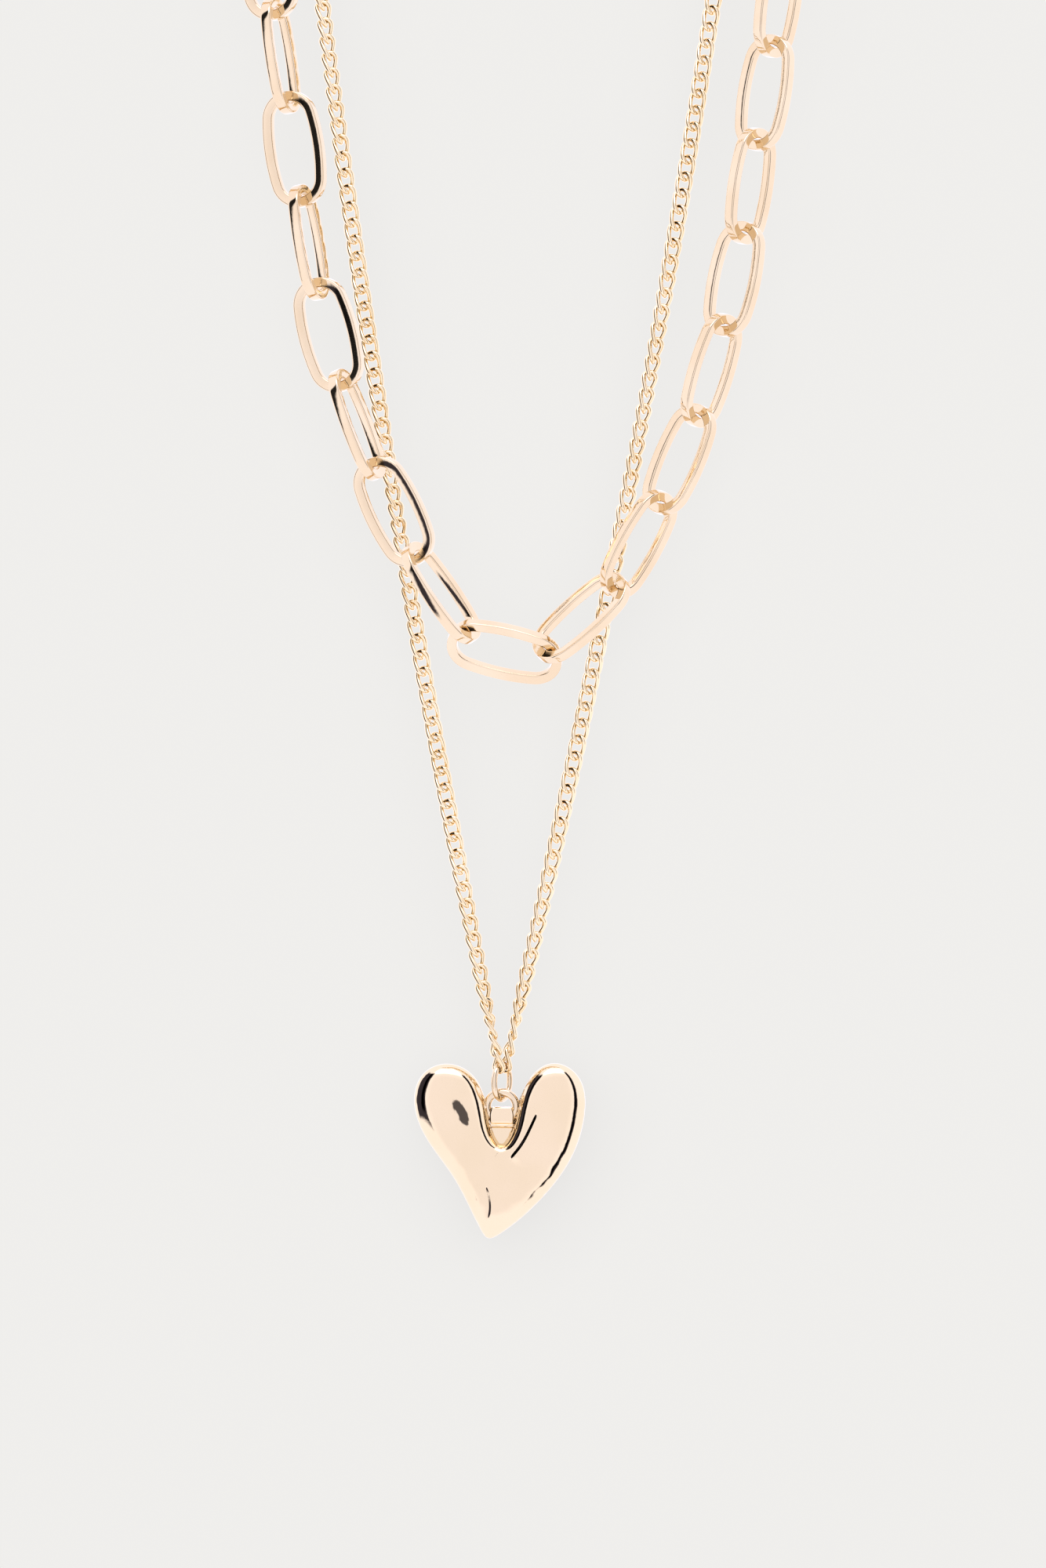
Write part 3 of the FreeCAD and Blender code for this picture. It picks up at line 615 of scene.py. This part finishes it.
def puff(outline):
    """Share of full thickness over a grid: 0 on the outline, levelling off to 1 well inside."""
    xs = GRID_LOW[0] + GRID_STEP * np.arange(GRID_SIZE[0])
    zs = GRID_LOW[1] + GRID_STEP * np.arange(GRID_SIZE[1])
    grid_x, grid_z = np.meshgrid(xs, zs, indexing="ij")
    places = np.stack([grid_x.ravel(), grid_z.ravel()], axis=1)
    mask = inside(places, outline).reshape(grid_x.shape)
    notch = np.exp(-(np.abs(grid_x) / 4.2) ** 4) * (grid_z > -1.0)
    reach = PUFF_REACH - (1.0 + 0.35 * np.tanh(grid_x / 2)) * notch
    pull = (GRID_STEP / reach) ** 2
    level = np.zeros(grid_x.shape)
    for _ in range(PUFF_STEPS):
        around = (np.roll(level, 1, 0) + np.roll(level, -1, 0)
                  + np.roll(level, 1, 1) + np.roll(level, -1, 1))
        level = np.where(mask, (around + pull) / (4 + pull), 0.0)
    return level


def sample_grid(grid, x, z):
    u = np.clip((x - GRID_LOW[0]) / GRID_STEP, 0, grid.shape[0] - 2)
    v = np.clip((z - GRID_LOW[1]) / GRID_STEP, 0, grid.shape[1] - 2)
    i, j = u.astype(int), v.astype(int)
    s, t = u - i, v - j
    return (grid[i, j] * (1 - s) * (1 - t) + grid[i + 1, j] * s * (1 - t)
            + grid[i, j + 1] * (1 - s) * t + grid[i + 1, j + 1] * s * t)


def smooth_step(value, low, high):
    share = np.clip((value - low) / (high - low), 0, 1)
    return share * share * (3 - 2 * share)


def beside(points, line):
    """Signed distance from a polyline (positive to its right going down it) and share along it."""
    line = spline(line, 40)
    lengths = np.linalg.norm(np.diff(line, axis=0), axis=1)
    travelled = np.concatenate([[0], np.cumsum(lengths)])
    best = np.full(len(points), np.inf)
    signed = np.zeros(len(points))
    share = np.zeros(len(points))
    for a, b, start, length in zip(line[:-1], line[1:], travelled, lengths):
        along = (b - a) / length
        offset = points - a
        t = np.clip(offset @ along, 0, length)
        gap = np.linalg.norm(offset - t[:, None] * along, axis=1)
        nearer = gap < best
        side = along[0] * offset[:, 1] - along[1] * offset[:, 0]
        best = np.where(nearer, gap, best)
        signed = np.where(nearer, gap * np.sign(side), signed)
        share = np.where(nearer, (start + t) / travelled[-1], share)
    return signed, share


def fold(points, line, rise, width, run_out, fade):
    """A straight rise across a line, sloping back over a run-out, and fading at both ends."""
    signed, share = beside(points, line)
    up = np.clip(signed / width + 0.5, 0, 1)
    back = np.clip((signed - width / 2) / run_out, 0, 1)
    step = up * (1 - back - 0.3 * back * (1 - back) * (1 - 2 * back))
    ends = smooth_step(share, 0.0, fade) * (1 - smooth_step(share, 1 - fade, 1.0))
    return rise * step * ends


DENT_CENTRE = np.array([-5.3, 4.6])
DENT_AXIS = np.array([0.49, -0.87])
DENT_DEPTH = 0.16
DENT_REACH = (0.75, 1.9)
CREASE = [(4.9, 5.6), (3.6, 2.6), (2.6, 0.7), (0.5, -1.8)]
TIP_GROOVE = [(-2.0, -4.2), (-1.3, -7.1), (-1.6, -9.6)]


LUMP_WAVES = 7


def lumps(points, seed, scale):
    """Smooth seeded unevenness, about -1 to 1."""
    rng = np.random.default_rng(seed)
    total = np.zeros(len(points))
    for _ in range(LUMP_WAVES):
        heading = rng.uniform(0, math.pi)
        wave = 2 * math.pi / (scale * rng.uniform(0.7, 1.5))
        phase = rng.uniform(0, 2 * math.pi)
        along = points[:, 0] * math.cos(heading) + points[:, 1] * math.sin(heading)
        total += np.sin(along * wave + phase)
    return total / (LUMP_WAVES / 2)


def dent_place(points):
    """Distances across and along the shallow dent in the left lobe."""
    offset = points - DENT_CENTRE
    return offset @ np.array([-DENT_AXIS[1], DENT_AXIS[0]]), offset @ DENT_AXIS


def dent_wall(points):
    """1 on the dent's right-hand wall, with a slightly ragged edge: where the colour gets a
    painted dark reflection.
    """
    across, along = dent_place(points)
    reach = np.sqrt(((across - 0.15) / 0.70) ** 2 + (along / 1.85) ** 2)
    return 1 - smooth_step(reach + 0.07 * lumps(points, 17, 0.6), 0.92, 1.05)


def front_relief(points, level):
    """Height of the heart's front over points (n, 2)."""
    height = HEART_FRONT * np.sqrt(level)
    across, along = dent_place(points)
    height -= DENT_DEPTH * np.exp(-(across / DENT_REACH[0]) ** 2 - (along / DENT_REACH[1]) ** 2)
    height += fold(points, CREASE, 0.26, 0.46, 2.4, 0.2)
    height += fold(points, TIP_GROOVE, 0.16, 0.27, 1.5, 0.25)
    rim = np.exp(-((level - 0.35) / 0.22) ** 2)
    low_side = smooth_step(-points[:, 1], -2.0, 3.0)
    height += 0.035 * rim * low_side * lumps(points, 5, 2.6)
    height += 0.012 * lumps(points, 9, 5.0) * np.clip(level * 2, 0, 1)
    return height


def heart_origin():
    low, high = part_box("heart_loop")
    top = high.z / MM - LOOP_WIRE / 2 - LOOP_RADIUS - HEART_NOTCH_DROP
    return np.array([(low.x + high.x) / 2 / MM, (low.y + high.y) / 2 / MM, top])


def build_heart():
    outline = heart_outline()
    grid = puff(outline)
    shares = np.cos(np.linspace(0, math.pi / 2, HEART_RINGS + 1))[:-1]
    flat = np.concatenate([HEART_MIDDLE + (outline - HEART_MIDDLE) * s for s in shares]
                          + [[HEART_MIDDLE]])
    level = sample_grid(grid, flat[:, 0], flat[:, 1])
    around = len(outline)
    rim_share = 1 - np.repeat(shares, around)
    level[:len(rim_share)] *= smooth_step(rim_share, -0.0001, 0.004)
    front = front_relief(flat, level)
    back = HEART_BACK * np.sqrt(level) * (1 + 0.02 * lumps(flat, 3, 6.0))
    origin = heart_origin()

    def lift(depth):
        return (origin + np.stack([flat[:, 0], depth, flat[:, 1]], axis=1)) * MM

    def back_start(k):
        """First point of ring k on the back; ring 0, the rim, is shared with the front."""
        return len(flat) + (k - 1) * around if k else 0

    points = np.concatenate([lift(-front), lift(back)[around:]])
    faces = []
    ring = np.arange(around)
    following = (ring + 1) % around
    for k in range(HEART_RINGS - 1):
        a, b = k * around, (k + 1) * around
        faces.append(np.stack([a + ring, a + following, b + following, b + ring], axis=1))
        a, b = back_start(k), back_start(k + 1)
        faces.append(np.stack([a + ring, b + ring, b + following, a + following], axis=1))
    last_front, centre_front = (HEART_RINGS - 1) * around, HEART_RINGS * around
    last_back, centre_back = back_start(HEART_RINGS - 1), len(points) - 1
    caps = [(last_front + i, last_front + j, centre_front) for i, j in zip(ring, following)]
    caps += [(last_back + j, last_back + i, centre_back) for i, j in zip(ring, following)]
    all_faces = [tuple(f) for f in np.concatenate(faces)] + caps
    heart = make_object("heart_pendant_look", points, all_faces, HEART)
    # Marks the dent's wall, where the heart's colour gets a painted dark reflection.
    wall = heart.data.attributes.new("dent_wall", "FLOAT", "POINT")
    walls = np.zeros(len(points))
    walls[:len(flat)] = dent_wall(flat)
    wall.data.foreach_set("value", walls)
    stand_in(heart, "heart_pendant")


def domed_pad(name, outline, y, bulge, thickness, origin, material):
    """Small pad with a domed front from an outline (x, z) in mm, with its rim at y."""
    outline = np.array(outline)
    centre = outline.mean(axis=0)
    shares = np.cos(np.linspace(0, math.pi / 2, 13))[:-1]
    points, faces = [], []
    around = len(outline)
    points += [(x, y + thickness, z) for x, z in outline]
    for s in shares:
        depth = y - bulge * math.sqrt(1 - s * s)
        points += [(x, depth, z) for x, z in centre + (outline - centre) * s]
    points.append((centre[0], y - bulge, centre[1]))
    ring = np.arange(around)
    following = (ring + 1) % around
    for k in range(len(shares)):
        a, b = k * around, (k + 1) * around
        faces += [(a + i, a + j, b + j, b + i) for i, j in zip(ring, following)]
    last = len(shares) * around
    faces += [(last + i, last + j, len(points) - 1) for i, j in zip(ring, following)]
    faces.append(tuple(reversed(ring)))
    return make_object(name, (np.array(points) + origin) * MM, faces, material)


def rounded_polygon(corners, smoothing):
    """Closed outline through corners, resampled and softened."""
    corners = np.array(corners, float)
    dense = []
    for a, b in zip(corners, np.roll(corners, -1, axis=0)):
        dense += [a + (b - a) * t for t in np.linspace(0, 1, 16, endpoint=False)]
    return softened(np.array(dense), smoothing)


def join_meshes(name, pieces):
    """One object from several, keeping the first one's material."""
    for other in bpy.context.selected_objects:
        other.select_set(False)
    for piece in pieces:
        piece.select_set(True)
    bpy.context.view_layer.objects.active = pieces[0]
    bpy.ops.object.join()
    pieces[0].name = name
    return pieces[0]


# The wires are thicker than the CAD's, as they look in the picture.
LOOP_LOOK_RADIUS = 1.85 * MM
LOOP_LOOK_WIRE_RADIUS = 0.52 * MM
RING_WIRE = 0.65 * MM
RING_LOOK_WIRE_RADIUS = 0.39 * MM
LOW_PAD = [(-1.5, 2.85), (1.6, 2.85), (1.4, 1.5), (0.5, -0.1), (-0.4, -0.1), (-1.3, 1.5)]
HIGH_PAD = [(-1.3, 5.4), (1.35, 5.4), (1.6, 4.4), (1.6, 3.2), (-1.5, 3.2), (-1.55, 4.4)]
CROSS_BAR = [(-1.6, 3.25), (1.7, 3.25), (1.7, 2.8), (-1.6, 2.8)]
PAD_THICKNESS = 0.9


def build_loop():
    """The soldered loop: its ring, and a tab of two pads with a bar between them."""
    origin = heart_origin()
    loop_centre = (origin + [0, 0, HEART_NOTCH_DROP]) * MM
    pieces = [ring_mesh("loop", loop_centre, (0, 1, 0), LOOP_LOOK_RADIUS, LOOP_LOOK_WIRE_RADIUS,
                        ROSE)]
    for name, corners, smoothing, y, bulge in (("low_pad", LOW_PAD, 10, -0.35, 0.35),
                                               ("high_pad", HIGH_PAD, 10, -0.45, 0.3),
                                               ("bar", CROSS_BAR, 3, -0.5, 0.3)):
        outline = rounded_polygon(corners, smoothing)
        pieces.append(domed_pad(name, outline, y, bulge, PAD_THICKNESS, origin, HEART))
    stand_in(join_meshes("heart_loop_look", pieces), "heart_loop")


def build_pendant_ring():
    low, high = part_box("pendant_ring")
    radius = (high.z - low.z - RING_WIRE) / 2
    centre = np.array([(a + b) / 2 for a, b in zip(low, high)])
    roll = math.asin(min(1.0, (high.y - low.y - RING_WIRE) / (2 * radius)))
    ring = ring_mesh("pendant_ring_look", centre, (-math.sin(roll), math.cos(roll), 0), radius,
                     RING_LOOK_WIRE_RADIUS, ROSE)
    stand_in(ring, "pendant_ring")


build_chains()
build_heart()
build_loop()
build_pendant_ring()

for other in sorted(frame["nodes"]):
    if other in ("clasp_spring", "clasp_pivot_pin"):
        dress(other, "spring_steel")
    elif not frame["nodes"][other].hide_render:
        dress(other, "rose_gold_plate")


# ---------- surroundings, light and camera

BACKGROUND = (0.868, 0.858, 0.840)


def build_world():
    world = bpy.data.worlds.new("studio")
    bpy.context.scene.world = world
    world.use_nodes = True
    tree = world.node_tree
    tree.nodes.clear()
    direction = add(tree, "ShaderNodeTexCoord").outputs["Generated"]
    azimuth, height = directions(tree, direction)
    dark = dark_panels(tree, direction, [(-62, -47, -12, 52), (45, 53, -37, 55)])
    top = calc(tree, "MULTIPLY", band(tree, azimuth, -50, 50, 8.0),
               band(tree, height, 50, 74, 4.0))
    front = calc(tree, "MULTIPLY", band(tree, azimuth, -34, 34, 8.0),
                 band(tree, height, -30, 40, 8.0))
    strength = calc(tree, "MULTIPLY_ADD", front, -0.14, 1.28)
    strength = calc(tree, "MULTIPLY_ADD", top, 1.8, strength)
    left_over = calc(tree, "SUBTRACT", 1.0, calc(tree, "MULTIPLY", dark, 0.985))
    strength = calc(tree, "MULTIPLY", strength, left_over)
    ray = add(tree, "ShaderNodeLightPath").outputs
    tint = mix_colour(tree, ray["Is Glossy Ray"], (1.0, 0.99, 0.96, 1.0), (1.0, 1.01, 1.24, 1.0))
    light = add(tree, "ShaderNodeBackground", Color=tint, Strength=strength)
    seen = add(tree, "ShaderNodeBackground", Color=(*BACKGROUND, 1.0), Strength=1.0)
    mixed = add(tree, "ShaderNodeMixShader", Fac=ray["Is Camera Ray"])
    tree.links.new(light.outputs[0], mixed.inputs[1])
    tree.links.new(seen.outputs[0], mixed.inputs[2])
    add(tree, "ShaderNodeOutputWorld", Surface=mixed.outputs[0])


def stage_plane(name, corners, material):
    made = make_object(name, corners, [(0, 1, 2, 3)], material)
    made.visible_glossy = False


SHEET_Y = 0.0075
SHEET_HALF_WIDTH = 0.075
SHEET_HEIGHTS = (-0.285, 0.01)


def build_shadow_sheet():
    """A sheet just behind the necklace that only shows painted shadow, a soft shade worked out
    from ambient occlusion.
    """
    material, tree = new_material("soft_shade")
    tilt = add(tree, "ShaderNodeCombineXYZ", X=-0.25, Y=-1.0, Z=0.55)
    shade = add(tree, "ShaderNodeAmbientOcclusion", {"samples": 12},
                Distance=0.012, Normal=tilt.outputs[0])
    # Painted shadow: darker where the ambient occlusion finds the necklace close, for camera rays
    # only.
    amount = calc(tree, "MULTIPLY", calc(tree, "SUBTRACT", 1.0, shade.outputs["AO"]), 0.32)
    camera_ray = add(tree, "ShaderNodeLightPath").outputs["Is Camera Ray"]
    amount = calc(tree, "MULTIPLY", amount, camera_ray)
    colour = mix_colour(tree, amount, (1.0, 1.0, 1.0, 1.0), (0.55, 0.53, 0.55, 1.0))
    sheet = add(tree, "ShaderNodeBsdfTransparent", Color=colour)
    add(tree, "ShaderNodeOutputMaterial", Surface=sheet.outputs[0])
    low, high = SHEET_HEIGHTS
    stage_plane("shadow_sheet", [(side * SHEET_HALF_WIDTH, SHEET_Y, z) for side, z in
                                 ((-1, low), (1, low), (1, high), (-1, high))], material)


FLOOR_Z = -0.32
FLOOR_HALF = 0.22
FLOOR_FADE = (0.10, 0.21)


def build_floor():
    """Round pale floor that fades out into the background."""
    material, tree = new_material("pale_floor")
    place_socket = add(tree, "ShaderNodeTexCoord").outputs["Object"]
    spot = add(tree, "ShaderNodeSeparateXYZ", Vector=place_socket)
    distance = calc(tree, "SQRT", calc(tree, "ADD", calc(tree, "POWER", spot.outputs[0], 2.0),
                                       calc(tree, "POWER", spot.outputs[1], 2.0)))
    grain = noise(tree, place_socket, 60.0, 3.0, 0.5, 2.0)
    colour = mix_colour(tree, grain, (0.56, 0.555, 0.54, 1.0), (0.53, 0.525, 0.51, 1.0))
    bump = add(tree, "ShaderNodeBump", Height=noise(tree, place_socket, 900.0, 2.0, 0.5, 4.0),
               Strength=0.2, Distance=0.0002)
    solid = add(tree, "ShaderNodeBsdfPrincipled", Base_Color=colour, Roughness=0.75,
                Normal=bump.outputs["Normal"])
    clear = add(tree, "ShaderNodeBsdfTransparent")
    mixed = add(tree, "ShaderNodeMixShader", Fac=ramp_between(tree, distance, *FLOOR_FADE))
    tree.links.new(solid.outputs[0], mixed.inputs[1])
    tree.links.new(clear.outputs[0], mixed.inputs[2])
    add(tree, "ShaderNodeOutputMaterial", Surface=mixed.outputs[0])
    stage_plane("floor", [(x * FLOOR_HALF, y * FLOOR_HALF, FLOOR_Z)
                          for x, y in ((-1, -1), (1, -1), (1, 1), (-1, 1))], material)


CAMERA_DISTANCE = 0.75
CAMERA_ROLL = math.radians(0.81)
FIELD_HEIGHT = 200.0 * MM
SENSOR_HEIGHT = 36.0
AIM_X = 2.15 * MM
AIM_ABOVE_RING = 35.8 * MM


def build_camera():
    """Camera straight in front, aimed above the middle of the pendant ring's top wire."""
    ring_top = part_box("pendant_ring")[1].z - RING_WIRE / 2
    aim = Vector((AIM_X, 0.0, ring_top + AIM_ABOVE_RING))
    data = bpy.data.cameras.new("camera")
    camera = bpy.data.objects.new("camera", data)
    bpy.context.scene.collection.objects.link(camera)
    data.sensor_fit = "VERTICAL"
    data.sensor_height = SENSOR_HEIGHT
    data.lens = SENSOR_HEIGHT * CAMERA_DISTANCE / FIELD_HEIGHT
    data.clip_start = 0.01
    right = Vector((math.cos(CAMERA_ROLL), 0, math.sin(CAMERA_ROLL)))
    up = Vector((-math.sin(CAMERA_ROLL), 0, math.cos(CAMERA_ROLL)))
    back = right.cross(up)
    camera.matrix_world = Matrix((
        (right.x, up.x, back.x, aim.x),
        (right.y, up.y, back.y, aim.y - CAMERA_DISTANCE),
        (right.z, up.z, back.z, aim.z),
        (0, 0, 0, 1)))
    bpy.context.scene.camera = camera


def area_light(name, place_at, target, size, power, colour):
    data = bpy.data.lights.new(name, "AREA")
    data.shape = "DISK"
    data.size = size
    data.energy = power
    data.color = colour
    lamp = bpy.data.objects.new(name, data)
    bpy.context.scene.collection.objects.link(lamp)
    lamp.location = place_at
    heading = Vector(target) - Vector(place_at)
    lamp.rotation_euler = heading.to_track_quat("-Z", "Y").to_euler()
    lamp.visible_glossy = False


build_world()
build_shadow_sheet()
build_floor()
area_light("key_light", (-0.35, -0.5, 0.25), (0, 0, -0.15), 0.3, 1.5, (1.0, 0.98, 0.95))
build_camera()

bpy.context.scene.view_settings.view_transform = "Standard"
bpy.context.scene.view_settings.look = "None"
